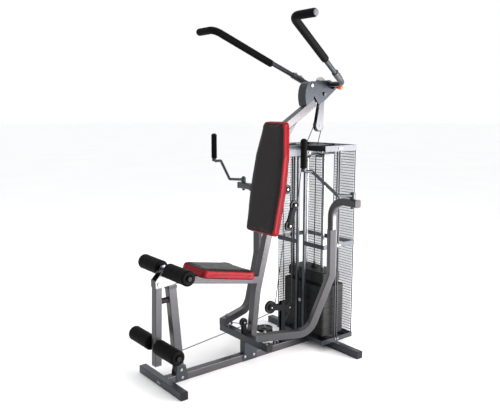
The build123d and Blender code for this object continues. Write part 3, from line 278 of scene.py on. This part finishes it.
def add_object(name, bm, material, smooth=True):
    """A new object from a bmesh."""
    mesh = bpy.data.meshes.new(name)
    bm.to_mesh(mesh)
    bm.free()
    obj = bpy.data.objects.new(name, mesh)
    SCENE.collection.objects.link(obj)
    paint(obj, material)
    for polygon in mesh.polygons:
        polygon.use_smooth = smooth
    return obj


def smooth_by_angle(obj, angle=SHARP_ANGLE):
    """Smooth shading with sharp edges kept."""
    obj.data.shade_smooth()
    bm = bmesh.new()
    bm.from_mesh(obj.data)
    for edge in bm.edges:
        edge.smooth = len(edge.link_faces) == 2 and edge.calc_face_angle(0) < angle
    bm.to_mesh(obj.data)
    bm.free()


def components(mesh):
    """The polygons of a mesh in connected groups, joined where corners coincide."""
    leader = {}

    def root(key):
        while leader[key] != key:
            leader[key] = leader[leader[key]]
            key = leader[key]
        return key

    keys = [tuple(round(c, 5) for c in vertex.co) for vertex in mesh.vertices]
    for key in keys:
        leader[key] = key
    for polygon in mesh.polygons:
        corners = [root(keys[index]) for index in polygon.vertices]
        for corner in corners[1:]:
            leader[root(corner)] = root(corners[0])
    groups = {}
    for polygon in mesh.polygons:
        groups.setdefault(root(keys[polygon.vertices[0]]), []).append(polygon)
    return [groups[key] for key in sorted(groups)]


def copy_of(node, name):
    """A copy of a CAD node's mesh as a free object."""
    obj = bpy.data.objects.new(name, NODES[node].data.copy())
    SCENE.collection.objects.link(obj)
    return obj


def activate(obj):
    """Make an object the only selected and active one."""
    bpy.ops.object.select_all(action="DESELECT")
    obj.select_set(True)
    bpy.context.view_layer.objects.active = obj


def everything(bm):
    """All of a bmesh, as bmesh operators take it."""
    return bm.verts[:] + bm.edges[:] + bm.faces[:]


def apply_modifiers(obj):
    """Bake an object's modifiers into its mesh."""
    depsgraph = bpy.context.evaluated_depsgraph_get()
    baked = bpy.data.meshes.new_from_object(obj.evaluated_get(depsgraph))
    obj.modifiers.clear()
    obj.data = baked


def tube_along(bm, points, radius, segments, closed=False):
    """A round tube along points, its radius one number or one for each point; an open one is capped."""
    count = len(points)
    rings = []
    normal = None
    for i, point in enumerate(points):
        before = points[i - 1] if closed or i else point
        after = points[(i + 1) % count] if closed or i < count - 1 else point
        along = (after - before).normalized()
        if normal is None:
            normal = along.orthogonal().normalized()
        normal = (normal - along * normal.dot(along)).normalized()
        side = along.cross(normal)
        size = radius[i] if isinstance(radius, list) else radius
        ring = []
        for k in range(segments):
            turn = 2 * math.pi * k / segments
            ring.append(bm.verts.new(point + size * (math.cos(turn) * normal + math.sin(turn) * side)))
        rings.append(ring)
    pairs = list(zip(rings, rings[1:]))
    if closed:
        shift = min(range(segments), key=lambda s: (rings[-1][s].co - rings[0][0].co).length)
        pairs.append((rings[-1][shift:] + rings[-1][:shift], rings[0]))
    for first, second in pairs:
        for k in range(segments):
            after = (k + 1) % segments
            bm.faces.new((first[k], first[after], second[after], second[k]))
    if not closed:
        bm.faces.new(list(reversed(rings[0])))
        bm.faces.new(rings[-1])


# ---- upholstery ---------------------------------------------------------------------------------


VOXEL = 0.0055
CLOTH_FRAMES = 20
HELD_DEPTH = 0.006  # the board holds the cloth this far up from the pad's back
BOARD_GAP = 0.0003
CROWN = 0.008  # the most that a pad swells past its CAD front
SEAM_DEPTH = 0.0085  # from the CAD front to the front panel's seam
BACK_SEAM_HEIGHT = 0.004
SEAM_STEP = 0.006
FRONT_PIPING, BACK_PIPING = 0.0024, 0.0022
PIPING_SUNK = 0.0006


def face_normal(obj, toward):
    """The normal of the largest flat face that looks a given way."""
    facing = (p for p in obj.data.polygons if p.normal.dot(toward) > FACING)
    return max(facing, key=lambda p: p.area).normal.copy()


def inflate(obj, normal, cap):
    """Fill a shell with air as cloth, its back held by the board, and cap how far each point moves."""
    board = obj.vertex_groups.new(name="board")
    back_level = min(v.co.dot(normal) for v in obj.data.vertices)
    held = [v.index for v in obj.data.vertices if v.co.dot(normal) < back_level + HELD_DEPTH]
    board.add(held, 1.0, "REPLACE")
    rest = [v.co.copy() for v in obj.data.vertices]
    cloth = obj.modifiers.new("cloth", "CLOTH")
    cloth.settings.quality = 5
    cloth.settings.mass = 0.3
    cloth.settings.tension_stiffness = 18
    cloth.settings.compression_stiffness = 18
    cloth.settings.bending_stiffness = 1.2
    cloth.settings.use_pressure = True
    cloth.settings.uniform_pressure_force = 4
    cloth.settings.vertex_group_mass = "board"
    cloth.settings.effector_weights.gravity = 0
    cloth.collision_settings.use_self_collision = False
    for frame_number in range(1, CLOTH_FRAMES + 1):
        SCENE.frame_set(frame_number)
        bpy.context.view_layer.update()
    apply_modifiers(obj)
    for vertex, start in zip(obj.data.vertices, rest):
        move = vertex.co - start
        if move.length > cap:
            vertex.co = start + move * (cap / move.length)
    SCENE.frame_set(1)


def seam_loop(obj, normal, level):
    """The closed line where a plane at a level along the normal cuts the pad."""
    bm = bmesh.new()
    bm.from_mesh(obj.data)
    cut = bmesh.ops.bisect_plane(bm, geom=everything(bm), plane_co=normal * level, plane_no=normal)
    edges = [e for e in cut["geom_cut"] if isinstance(e, bmesh.types.BMEdge)]
    neighbours = {}
    for edge in edges:
        a, b = edge.verts
        neighbours.setdefault(a, []).append(b)
        neighbours.setdefault(b, []).append(a)
    start = max(neighbours, key=lambda v: (v.co.x, v.co.y, v.co.z))
    line, last, here = [start.co.copy()], None, start
    for _ in neighbours:
        onward = [v for v in neighbours[here] if v is not last]
        if not onward or onward[0] is start:
            break
        last, here = here, onward[0]
        line.append(here.co.copy())
    bm.free()
    return line


def even_loop(line):
    """The closed line resampled at an even step and smoothed."""
    fewest, passes = 24, 4
    closed = line + line[:1]
    lengths = [(b - a).length for a, b in zip(closed, closed[1:])]
    total = sum(lengths)
    count = max(fewest, int(total / SEAM_STEP))
    points, travelled, index = [], 0.0, 0
    for i in range(count):
        target = total * i / count
        while index < len(lengths) - 1 and travelled + lengths[index] < target:
            travelled += lengths[index]
            index += 1
        share = (target - travelled) / max(lengths[index], 1e-9)
        points.append(closed[index].lerp(closed[index + 1], min(1.0, share)))
    for _ in range(passes):
        points = [(points[i - 1] + 2 * points[i] + points[(i + 1) % count]) / 4 for i in range(count)]
    return points


def inside(outline, x, y):
    """Whether a point lies inside an outline."""
    found = False
    for (u0, v0), (u1, v1) in zip(outline, outline[1:] + outline[:1]):
        if (v0 > y) != (v1 > y) and x < u0 + (y - v0) * (u1 - u0) / (v1 - v0):
            found = not found
    return found


def pad(node, toward, start_scale, cap, inset):
    """An upholstered pad: black front panel, red side band, dark piping round the front and the back."""
    obj = copy_of(node, node.replace("_pad", "_cushion"))
    vertices = obj.data.vertices
    normal = face_normal(obj, toward)
    centre = sum((v.co for v in vertices), Vector()) / len(vertices)
    back_level = min(v.co.dot(normal) for v in vertices)
    front_level = max(v.co.dot(normal) for v in vertices)
    for vertex in vertices:
        vertex.co = centre + (vertex.co - centre) * start_scale
    lift = back_level - min(v.co.dot(normal) for v in vertices)
    for vertex in vertices:
        vertex.co += normal * lift
    remesh = obj.modifiers.new("remesh", "REMESH")
    remesh.mode = "VOXEL"
    remesh.voxel_size = VOXEL
    apply_modifiers(obj)
    inflate(obj, normal, cap)
    obj.modifiers.new("smooth", "SMOOTH").iterations = 3
    obj.modifiers.new("subdivision", "SUBSURF").levels = 1
    apply_modifiers(obj)
    for vertex in obj.data.vertices:
        level = vertex.co.dot(normal)
        if level < back_level + BOARD_GAP:
            vertex.co += normal * (back_level + BOARD_GAP - level)
        if level > front_level + CROWN:
            vertex.co += normal * (front_level + CROWN - level)

    # the front panel is the seam's outline, drawn in by the inset
    seam_level = front_level - SEAM_DEPTH
    seam = even_loop(seam_loop(obj, normal, seam_level))
    middle = sum(seam, Vector()) / len(seam)
    across = Vector((1, 0, 0))
    up = normal.cross(across).normalized()
    outline = [((point - middle).dot(across), (point - middle).dot(up)) for point in seam]
    shrink_u = 1 - inset / max(abs(u) for u, v in outline)
    shrink_v = 1 - inset / max(abs(v) for u, v in outline)
    paint(obj, RED_VINYL, BLACK_VINYL)
    for polygon in obj.data.polygons:
        polygon.use_smooth = True
        offset = polygon.center - middle
        panel = polygon.center.dot(normal) > seam_level and inside(
            outline, offset.dot(across) / shrink_u, offset.dot(up) / shrink_v)
        polygon.material_index = 1 if panel or polygon.normal.dot(normal) < -FACING else 0
    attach(obj, "frame")
    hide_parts(node)

    surface = BVHTree.FromObject(obj, bpy.context.evaluated_depsgraph_get())
    panel_edge = []
    for u, v in outline:
        point = middle + across * u * shrink_u + up * v * shrink_v
        hit = surface.ray_cast(point + normal * 0.1, -normal)[0]
        panel_edge.append((hit if hit is not None else point) - normal * PIPING_SUNK)
    back_edge = even_loop(seam_loop(obj, normal, back_level + BACK_SEAM_HEIGHT))
    bm = bmesh.new()
    tube_along(bm, panel_edge, FRONT_PIPING, 10, closed=True)
    tube_along(bm, back_edge, BACK_PIPING, 10, closed=True)
    bmesh.ops.recalc_face_normals(bm, faces=bm.faces)
    piping = add_object(node.replace("_pad", "_piping"), bm, PIPING)
    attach(piping, "frame")


# ---- foam ---------------------------------------------------------------------------------------


def lathe(bm, profile, place, segments, closed):
    """Turn a (position, radius) profile, place(position, radius, turn) giving each point; a radius of
    zero closes on the axis."""
    rings = []
    for position, radius in profile:
        turns = [2 * math.pi * k / segments for k in range(segments if radius else 1)]
        rings.append([bm.verts.new(place(position, radius, turn)) for turn in turns])
    pairs = list(zip(rings, rings[1:]))
    if closed:
        pairs.append((rings[-1], rings[0]))
    for first, second in pairs:
        for k in range(segments):
            after = (k + 1) % segments
            if len(first) == 1:
                bm.faces.new((first[0], second[after], second[k]))
            elif len(second) == 1:
                bm.faces.new((first[k], first[after], second[0]))
            else:
                bm.faces.new((first[k], first[after], second[after], second[k]))
    bmesh.ops.recalc_face_normals(bm, faces=bm.faces)


def roller(node, seed):
    """A thick foam roller with rounded rims, recessed ends and a slightly uneven skin."""
    low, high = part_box(node)
    centre = (low + high) / 2
    full = (high.z - low.z) / 2
    bore, rim = 0.0083, 0.011
    recess, recess_radius = 0.004, 0.016
    lip, lip_radius, face_radius = 0.0008, 0.019, 0.023
    rim_steps, skin_steps = 7, 24
    sag_height, sag_rate = 0.0002, 19
    wave_height, waves, wave_drift = 0.002, 3, 11
    even_radius = 0.03  # nearer the axis than this, the wave fades
    skin_depth = 0.0006  # between the rims, below the full radius
    profile = [(low.x + recess, bore), (low.x + recess, recess_radius), (low.x + lip, lip_radius),
               (low.x, face_radius)]
    for i in range(rim_steps + 1):
        turn = math.pi / 2 * i / rim_steps
        profile.append((low.x + rim - rim * math.cos(turn), full - rim + rim * math.sin(turn)))
    length = high.x - low.x
    for i in range(1, skin_steps):
        share = i / skin_steps
        sag = sag_height * math.sin(share * sag_rate + seed)
        profile.append((low.x + rim + (length - 2 * rim) * share, full - skin_depth + sag))
    for i in range(rim_steps + 1):
        turn = math.pi / 2 * (1 - i / rim_steps)
        profile.append((high.x - rim + rim * math.cos(turn), full - rim + rim * math.sin(turn)))
    profile += [(high.x, face_radius), (high.x - lip, lip_radius), (high.x - recess, recess_radius),
                (high.x - recess, bore)]

    def place(x, radius, turn):
        fade = min(1.0, radius / even_radius)
        wave = 1 + wave_height * math.sin(waves * turn + wave_drift * x + seed) * fade
        return x, centre.y + radius * wave * math.cos(turn), centre.z + radius * wave * math.sin(turn)

    bm = bmesh.new()
    lathe(bm, profile, place, 72, closed=True)
    foam_piece = add_object(node + "_foam", bm, FOAM)
    smooth_by_angle(foam_piece, SHARP_FOAM_ANGLE)
    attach(foam_piece, node)
    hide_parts(node)


def press_grip(side):
    """A grooved foam grip on the upright end of a press handle, its grey collar and its end plug."""
    node = "press_grip_" + side
    body = "handle_" + side
    low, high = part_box(node)
    centre = (low + high) / 2
    full = (high.x - low.x) / 2
    bore = 0.0092
    grip_low, grip_high = high.z - 0.159, high.z - 0.005
    ends = [(0.0, 0.006), (0.002, 0.002), (0.006, 0.0)]  # along the grip, and in from its full radius
    grooves, first_groove = 17, 0.016
    half_groove, half_floor, groove_depth = 0.0022, 0.0008, 0.0011

    def place(z, radius, turn):
        return centre.x + radius * math.cos(turn), centre.y + radius * math.sin(turn), z

    profile = [(grip_low, bore)] + [(grip_low + along, full - drop) for along, drop in ends]
    for i in range(grooves):
        z = grip_low + first_groove + i * (grip_high - grip_low - 2 * first_groove) / (grooves - 1)
        profile += [(z - half_groove, full), (z - half_floor, full - groove_depth),
                    (z + half_floor, full - groove_depth), (z + half_groove, full)]
    profile += [(grip_high - along, full - drop) for along, drop in reversed(ends)] + [(grip_high, bore)]
    bm = bmesh.new()
    lathe(bm, profile, place, 48, closed=True)
    grip = add_object(node + "_foam", bm, FOAM)
    smooth_by_angle(grip, SHARP_FOAM_ANGLE)
    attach(grip, body)
    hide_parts(node)

    collar_radius = 0.0138
    collar_profile = [
        (low.z + 0.001, bore), (low.z + 0.001, 0.0125), (low.z + 0.003, collar_radius),
        (grip_low - 0.001, collar_radius), (grip_low - 0.0002, 0.0128), (grip_low - 0.0002, bore)]
    bm = bmesh.new()
    lathe(bm, collar_profile, place, 40, closed=True)
    collar = add_object(node + "_collar", bm, SLATE)
    smooth_by_angle(collar)
    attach(collar, body)

    plug_profile = [(grip_high + rise, radius) for rise, radius in (
        (-0.003, 0.0), (-0.003, 0.0088), (0.0002, 0.0088), (0.0002, 0.0118), (0.003, 0.0112),
        (0.0045, 0.0085), (0.0049, 0.0))]
    bm = bmesh.new()
    lathe(bm, plug_profile, place, 40, closed=False)
    plug = add_object(node + "_plug", bm, BLACK_PLASTIC)
    smooth_by_angle(plug)
    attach(plug, body)


def lat_grips():
    """Long foam sleeves round the bends of the lat bars, with light end caps."""
    bars_low, bars_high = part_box("lat_bars")
    grips_low, grips_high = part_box("lat_grips")
    radius, bend, bar_radius, cap_length = 0.023, 0.060, 0.015, 0.007
    start_x, corner_x = 0.2385, 0.356
    slant_steps, bend_steps, level_steps = 60, 10, 24
    end_y = bars_low.y + bar_radius
    end_z = bars_high.z - bar_radius
    start = Vector((start_x, grips_high.y - 0.019, grips_low.z + 0.0205))
    corner = Vector((corner_x, end_y, end_z))
    tip = Vector((grips_high.x - cap_length, end_y, end_z))
    into = (corner - start).normalized()
    out = Vector((1, 0, 0))
    axis = into.cross(out).normalized()
    half_turn = into.angle(out) / 2
    reach = bend * math.tan(half_turn)
    first, last = corner - into * reach, corner + out * reach
    middle = first + (into.cross(out)).cross(into).normalized() * bend

    def ridge(i):
        return 0.0001 if i % 3 == 0 else 0.0

    points, sizes = [], []
    for i in range(slant_steps):
        points.append(start.lerp(first, i / slant_steps))
        sizes.append(radius - ridge(i) - 0.0002 * (1 + math.sin(i * 0.9)) / 2)
    for i in range(bend_steps + 1):
        turn = 2 * half_turn * i / bend_steps
        points.append(middle + Matrix.Rotation(turn, 3, axis) @ (first - middle))
        sizes.append(radius - 0.0003)
    for i in range(1, level_steps + 1):
        points.append(last.lerp(tip, i / level_steps))
        sizes.append(radius - ridge(i))
    sizes[0] = sizes[-1] = radius - 0.005
    sizes[1] = sizes[-2] = radius - 0.0012
    cap_points = [tip + out * step for step in (0.0005, 0.0012, 0.004, 0.0058, 0.0068)]
    cap_sizes = [0.0165, 0.017, 0.017, 0.0155, 0.011]
    for sign, side in ((1, "right"), (-1, "left")):
        bm = bmesh.new()
        tube_along(bm, [Vector((sign * p.x, p.y, p.z)) for p in points], sizes, 36)
        bmesh.ops.recalc_face_normals(bm, faces=bm.faces)
        grip = add_object("lat_grip_" + side, bm, FOAM)
        smooth_by_angle(grip, SHARP_FOAM_ANGLE)
        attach(grip, "lat_bars")
        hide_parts("lat_grips")
        bm = bmesh.new()
        tube_along(bm, [Vector((sign * p.x, p.y, p.z)) for p in cap_points], cap_sizes, 36)
        bmesh.ops.recalc_face_normals(bm, faces=bm.faces)
        cap = add_object("lat_end_cap_" + side, bm, LIGHT_CAP)
        smooth_by_angle(cap)
        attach(cap, "lat_bars")


# ---- screens ------------------------------------------------------------------------------------


PITCH, WEB, BORDER = 0.0085, 0.0042, 0.009


def strip(bm, low, high):
    """A thin flat strip between two corners."""
    corners = [bm.verts.new((x, y, z))
               for x in (low[0], high[0]) for y in (low[1], high[1]) for z in (low[2], high[2])]
    for face in ((0, 1, 3, 2), (4, 6, 7, 5), (0, 4, 5, 1), (2, 3, 7, 6), (0, 2, 6, 4), (1, 5, 7, 3)):
        bm.faces.new([corners[index] for index in face])


def sheet_boxes():
    """Lowest and highest corner of each of the CAD's three sheets."""
    side_x, rear_y = -0.2, 0.66
    mesh = NODES["guard_screens"].data
    boxes = {}
    for polygon in mesh.polygons:
        centre = polygon.center
        if centre.x < side_x and centre.y < rear_y:
            key = "side"
        else:
            key = "rear_left" if centre.x < 0 else "rear_right"
        points = [mesh.vertices[index].co for index in polygon.vertices]
        if key in boxes:
            points += boxes[key]
        boxes[key] = [Vector([pick(point[axis] for point in points) for axis in range(3)])
                      for pick in (min, max)]
    return boxes


def screens():
    """Punched steel screens: an open grid of narrow webs inside a plain border."""
    for key, (low, high) in sorted(sheet_boxes().items()):
        across = 1 if key == "side" else 0
        bm = bmesh.new()

        def put(u0, u1, z0, z1):
            first, second = low.copy(), high.copy()
            first[across], second[across] = u0, u1
            first.z, second.z = z0, z1
            strip(bm, first, second)

        left, right = low[across], high[across]
        inner_left, inner_right = left + BORDER, right - BORDER
        put(left, inner_left, low.z, high.z)
        put(inner_right, right, low.z, high.z)
        put(inner_left, inner_right, low.z, low.z + BORDER)
        put(inner_left, inner_right, high.z - BORDER, high.z)
        count = int((inner_right - inner_left) / PITCH)
        step = (inner_right - inner_left) / count
        for i in range(1, count):
            u = inner_left + i * step
            put(u - WEB / 2, u + WEB / 2, low.z + BORDER, high.z - BORDER)
        inner_height = high.z - low.z - 2 * BORDER
        count = int(inner_height / (2 * PITCH))
        rise = inner_height / count
        for i in range(1, count):
            z = low.z + BORDER + i * rise
            put(inner_left, inner_right, z - WEB / 2, z + WEB / 2)
        screen = add_object("guard_screen_" + key, bm, GREY_SCREEN, smooth=False)
        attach(screen, "frame")
        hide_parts("guard_screens")


# ---- cables -------------------------------------------------------------------------------------


SPAN_SLICE, PRESS_SLICE = 0.02, 0.01


def sliced(obj, axis, spacing):
    """Cut a mesh by evenly spaced planes across an axis."""
    bm = bmesh.new()
    bm.from_mesh(obj.data)
    low = min(v.co.dot(axis) for v in bm.verts)
    high = max(v.co.dot(axis) for v in bm.verts)
    count = int((high - low) / spacing)
    for i in range(1, count):
        point = axis * (low + (high - low) * i / count)
        bmesh.ops.bisect_plane(bm, geom=everything(bm), plane_co=point, plane_no=axis)
    bm.to_mesh(obj.data)
    bm.free()


def moving_cable(obj, node, axis, spacing):
    """Make an object a cable span: sliced across an axis, painted, smoothed and baked in place; its CAD
    node is hidden.
    """
    sliced(obj, axis, spacing)
    paint(obj, CABLE)
    obj.data.shade_smooth()
    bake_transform(obj)
    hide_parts(node)


def loose_parts(node, name):
    """The separate solids of a CAD node as free objects."""
    activate(copy_of(node, name))
    bpy.ops.object.mode_set(mode="EDIT")
    bpy.ops.mesh.select_all(action="SELECT")
    bpy.ops.mesh.remove_doubles(threshold=1e-6)
    bpy.ops.mesh.separate(type="LOOSE")
    bpy.ops.object.mode_set(mode="OBJECT")
    return list(bpy.context.selected_objects)


def span_of(obj):
    """Lowest and highest corner of an object's mesh."""
    cos = [v.co for v in obj.data.vertices]
    return [Vector([pick(c[axis] for c in cos) for axis in range(3)]) for pick in (min, max)]


def half_of(obj, name, sign):
    """A new object with the half of a mesh on one side of the middle plane."""
    half = bpy.data.objects.new(name, obj.data.copy())
    SCENE.collection.objects.link(half)
    bm = bmesh.new()
    bm.from_mesh(half.data)
    bmesh.ops.bisect_plane(bm, geom=everything(bm), plane_co=(0, 0, 0), plane_no=(-sign, 0, 0),
                           clear_outer=True)
    bm.to_mesh(half.data)
    bm.free()
    return half


def cables():
    """Fixed cables, and the spans that run to the moving bodies, sliced across their length."""
    upward, backward = Vector((0, 0, 1)), Vector((0, 1, 0))
    low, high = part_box("stack_cable")
    moving_cable(copy_of("stack_cable", "stack_cable_span"), "stack_cable", upward, SPAN_SLICE)
    low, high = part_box("hanger_cable")
    moving_cable(copy_of("hanger_cable", "hanger_cable_span"), "hanger_cable", upward,
                 SPAN_SLICE)
    low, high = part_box("leg_cable")
    moving_cable(copy_of("leg_cable", "leg_cable_span"), "leg_cable", backward, SPAN_SLICE)

    arm_x = 0.1  # only the press cable reaches past this on both sides
    parts = sorted(loose_parts("fixed_cables", "fixed_cable"), key=lambda part: span_of(part)[0].z)
    for number, piece in enumerate(parts):
        low, high = span_of(piece)
        if low.x < -arm_x and high.x > arm_x:
            for sign, side in ((1, "right"), (-1, "left")):
                moving_cable(half_of(piece, "press_cable_" + side, sign), "fixed_cables",
                             Vector((sign, 0, 0)), PRESS_SLICE)
            bpy.data.objects.remove(piece)
            continue
        piece.name = "fixed_cable_%d" % number
        paint(piece, CABLE)
        smooth_by_angle(piece)
        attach(piece, "frame")
        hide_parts("fixed_cables")


# ---- studio -------------------------------------------------------------------------------------


CAMERA_PLACE = (2.8089, -2.1364, 1.5176)
CAMERA_AZIMUTH, CAMERA_DOWN = 51.966, 9.003  # degrees
CAMERA_LENS = 44.10
FLOOR_RADIUS = 60


def area_light(name, place, target, size, power, color=(1, 1, 1)):
    """A soft area light of some width and height, aimed at a point."""
    light = bpy.data.lights.new(name, "AREA")
    light.energy = power
    light.color = color
    light.shape = "RECTANGLE"
    light.size, light.size_y = size
    obj = bpy.data.objects.new(name, light)
    SCENE.collection.objects.link(obj)
    obj.location = place
    obj.rotation_euler = (Vector(target) - Vector(place)).to_track_quat("-Z", "Y").to_euler()


def studio():
    """Pale floor, soft light and the camera."""
    mat, tree, shader = new_material("studio_floor", (0.965, 0.97, 0.98), roughness=0.6, specular=0.1)
    cloud = noise(tree, scale=0.8, detail=2)
    vary_color(tree, shader, cloud, (0.955, 0.96, 0.975), (0.975, 0.98, 0.985))
    bm = bmesh.new()
    bmesh.ops.create_circle(bm, cap_ends=True, radius=FLOOR_RADIUS, segments=96)
    add_object("studio_floor", bm, mat, smooth=False)

    world = bpy.data.worlds.new("studio")
    world.use_nodes = True
    background = world.node_tree.nodes["Background"]
    background.inputs["Color"].default_value = (1.0, 1.0, 1.0, 1)
    background.inputs["Strength"].default_value = 1.0
    SCENE.world = world
    centre = (0, 0.05, 0.9)
    area_light("key", place=(2.9, 2.1, 0.75), target=(0, 0, 0.6), size=(3.4, 1.4), power=340,
               color=(1.0, 0.945, 0.935))
    area_light("front", place=(1.6, -3.6, 3.0), target=centre, size=(1.6, 1.6), power=18)
    area_light("top", place=(0.0, 0.2, 4.2), target=centre, size=(2.2, 2.2), power=30)

    camera = bpy.data.cameras.new("camera")
    camera.lens = CAMERA_LENS
    camera.sensor_width = 36
    camera.clip_end = 200
    obj = bpy.data.objects.new("camera", camera)
    SCENE.collection.objects.link(obj)
    obj.location = CAMERA_PLACE
    obj.rotation_euler = (math.radians(90 - CAMERA_DOWN), 0, math.radians(CAMERA_AZIMUTH))
    SCENE.camera = obj
    SCENE.view_settings.view_transform = "Standard"


# ---- the object ---------------------------------------------------------------------------------


def repaint(node, material, chosen):
    """Give the chosen polygons of a CAD node one more material."""
    mesh = NODES[node].data
    mesh.materials.append(material)
    for polygon in mesh.polygons:
        if chosen(polygon):
            polygon.material_index = len(mesh.materials) - 1


def is_roller_cap(polygon):
    """Whether a polygon of the leg lever's fittings is on an axle's end cap."""
    return abs(polygon.center.x) > 0.2


def is_arm_cap(polygon):
    """Whether a polygon of a press arm is on its end cap."""
    return abs(polygon.center.x) > 0.5345


def is_side_rod(polygon):
    """Whether a polygon of the guard frame is on one of its bright side rods."""
    at_side = abs(polygon.center.x) > 0.1975 and 0.575 < polygon.center.y < 0.606
    return at_side and abs(polygon.normal.z) < 0.1


for node_name, node_object in NODES.items():
    if node_name not in SOFT_NODES:
        paint(node_object, finish_of(node_name))
        smooth_by_angle(node_object)

# the lat fittings are a disc near the middle, and sleeves and smaller nuts on the bars
disc_half_width, nut_reach = 0.05, 0.02
sleeves, nuts = set(), set()
for part in components(NODES["lat_fittings"].data):
    part_middle = sum((polygon.center for polygon in part), Vector()) / len(part)
    part_reach = max((polygon.center - part_middle).length for polygon in part)
    if abs(part_middle.x) >= disc_half_width:
        (sleeves if part_reach > nut_reach else nuts).update(polygon.index for polygon in part)
repaint("lat_fittings", CHARCOAL, lambda polygon: polygon.index in sleeves)
repaint("lat_fittings", ZINC, lambda polygon: polygon.index in nuts)
repaint("leg_lever_fittings", BLACK_PLASTIC, is_roller_cap)
repaint("press_arm_left", BLACK_PLASTIC, is_arm_cap)
repaint("press_arm_right", BLACK_PLASTIC, is_arm_cap)
repaint("guard_frame", STRAP_STEEL, is_side_rod)

pad("seat_pad", toward=Vector((0, 0, 1)), start_scale=0.985, cap=0.0065, inset=0.005)
pad("backrest_pad", toward=Vector((0, -1, 0)), start_scale=0.988, cap=0.0065, inset=0.010)
for index, roller_node in enumerate((
        "upper_roller_left", "upper_roller_right", "lower_roller_left", "lower_roller_right")):
    roller(roller_node, seed=1.7 * index)
press_grip("left")
press_grip("right")
lat_grips()
screens()
cables()
studio()
